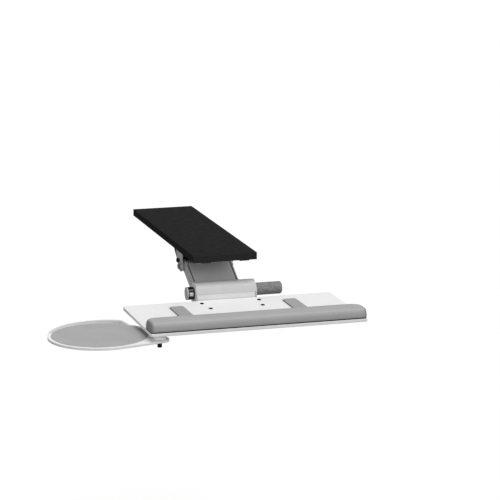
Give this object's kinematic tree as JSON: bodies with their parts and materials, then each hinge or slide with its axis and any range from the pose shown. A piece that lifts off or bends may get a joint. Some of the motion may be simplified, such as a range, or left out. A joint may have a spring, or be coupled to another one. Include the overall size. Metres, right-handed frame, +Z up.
{
  "type": "under-desk keyboard tray",
  "caption": "Keyboard board with palm rest on a tilting head and parallelogram arm that slides and swivels under a desk, with a swinging round mouse platform.",
  "frame": {"origin": "middle of the track's top face, which lies against the underside of the desk", "axes": "+X to the user's right, -Y towards the user along the track, +Z up"},
  "size_m": [0.6862, 0.8571, 0.1371],
  "materials": {
    "black_steel": "satin",
    "zinc_steel": "satin",
    "grey_steel": "satin",
    "dark_steel": "matte",
    "spring_steel": "oiled",
    "black_plastic": "matte",
    "gloss_black": "gloss",
    "white_nylon": "matte",
    "cover_grey": "matte",
    "skirt_grey": "matte",
    "board_white": "matte",
    "palm_plastic": "matte",
    "palm_skin": "soft",
    "pad_fabric": "soft",
    "scale_white": "gloss",
    "grip_rubber": "matte",
    "nut_brass": "satin",
    "cover_grey_steel": "satin"
  },
  "bodies": {
    "track": {"track_channel": "black_steel", "front_stop": "black_plastic", "rear_stop": "black_plastic", "stop_screws": "zinc_steel"},
    "carriage": {"carriage_plate": "zinc_steel", "carriage_glides": "white_nylon", "swivel_hub": "zinc_steel", "swivel_spacer": "white_nylon", "swivel_nut": "zinc_steel", "swivel_washer": "zinc_steel"},
    "swivel": {"swivel_bracket": "grey_steel", "swivel_cover": "black_plastic", "tension_knob": "black_plastic", "upper_pivot_pin": "zinc_steel", "brake_discs": "dark_steel", "brake_washer": "zinc_steel", "brake_nut": "zinc_steel", "pivot_washer": "white_nylon", "lift_spring": "spring_steel", "upper_link_pins": "zinc_steel"},
    "arm": {"arm_channel": "grey_steel", "arm_cover": "dark_steel", "arm_bushes": "white_nylon"},
    "link": {"link_bars": "zinc_steel"},
    "head": {"head_frame": "grey_steel", "head_cover": "cover_grey", "head_pin": "zinc_steel", "head_link_pins": "zinc_steel", "cover_screws": "dark_steel", "gauge_housing": "gloss_black", "gauge_cap": "cover_grey"},
    "tray": {"tray_bracket": "cover_grey_steel", "tray_skirt": "skirt_grey", "gauge_scale": "scale_white", "board": "board_white", "board_screws": "black_steel", "palm_base": "palm_plastic", "palm_rest": "palm_skin", "mouse_bolt": "zinc_steel", "mouse_mount_washer": "black_plastic", "mouse_spacer": "scale_white"},
    "mouse": {"mouse_platform": "board_white", "mouse_pad": "pad_fabric", "mouse_guard": "cover_grey", "mouse_bush": "white_nylon"},
    "knob": {"mouse_knob": "black_plastic", "mouse_knob_washer": "zinc_steel"},
    "dial": {"tilt_screw": "zinc_steel", "dial_core": "black_plastic", "dial_grip": "grip_rubber", "dial_cap": "grip_rubber"},
    "nut": {"tilt_nut": "nut_brass"}
  },
  "joints": [
    {"name": "track_slide", "type": "slide", "parent": "track", "child": "carriage", "axis": [0, 1, 0], "range_m": [-0.11, 0.265]},
    {"name": "swivel_turn", "type": "hinge", "parent": "carriage", "child": "swivel", "pos_m": [0, -0.08, 0], "axis": [0, 0, 1], "range_deg": [-90, 90]},
    {"name": "arm_lift", "type": "hinge", "parent": "swivel", "child": "arm", "pos_m": [0, -0.1245, -0.0575], "axis": [1, 0, 0], "range_deg": [-15, 32]},
    {"name": "link_lift", "type": "hinge", "parent": "swivel", "child": "link", "pos_m": [0, -0.1295, -0.0477], "axis": [1, 0, 0], "range_deg": [-15.3, 32.3]},
    {"name": "head_level", "type": "hinge", "parent": "arm", "child": "head", "pos_m": [0, -0.2492, -0.1211], "axis": [1, 0, 0], "range_deg": [-32.3, 15.3]},
    {"name": "tray_tilt", "type": "hinge", "parent": "head", "child": "tray", "pos_m": [0, -0.2645, -0.0886], "axis": [1, 0, 0], "range_deg": [-12, 12]},
    {"name": "dial_turn", "type": "hinge", "parent": "head", "child": "dial", "pos_m": [0, -0.2645, -0.0886], "axis": [1, 0, 0], "range_deg": [-722, 722]},
    {"name": "nut_travel", "type": "slide", "parent": "head", "child": "nut", "axis": [1, 0, 0], "range_m": [-0.0121, 0.0121]},
    {"name": "mouse_swing", "type": "hinge", "parent": "tray", "child": "mouse", "pos_m": [-0.217, -0.5295, 0], "axis": [0, 0, 1], "range_deg": [-60, 100]},
    {"name": "knob_turn", "type": "hinge", "parent": "tray", "child": "knob", "pos_m": [-0.217, -0.5295, 0], "axis": [0, 0, 1], "range_deg": [-90, 90]}
  ],
  "couplings": [
    {"joint": "link_lift", "follows": "arm_lift", "ratio": 1},
    {"joint": "head_level", "follows": "arm_lift", "ratio": -1},
    {"joint": "dial_turn", "follows": "tray_tilt", "ratio": 60},
    {"joint": "nut_travel", "follows": "tray_tilt", "m_per_rad": 0.0573}
  ]
}
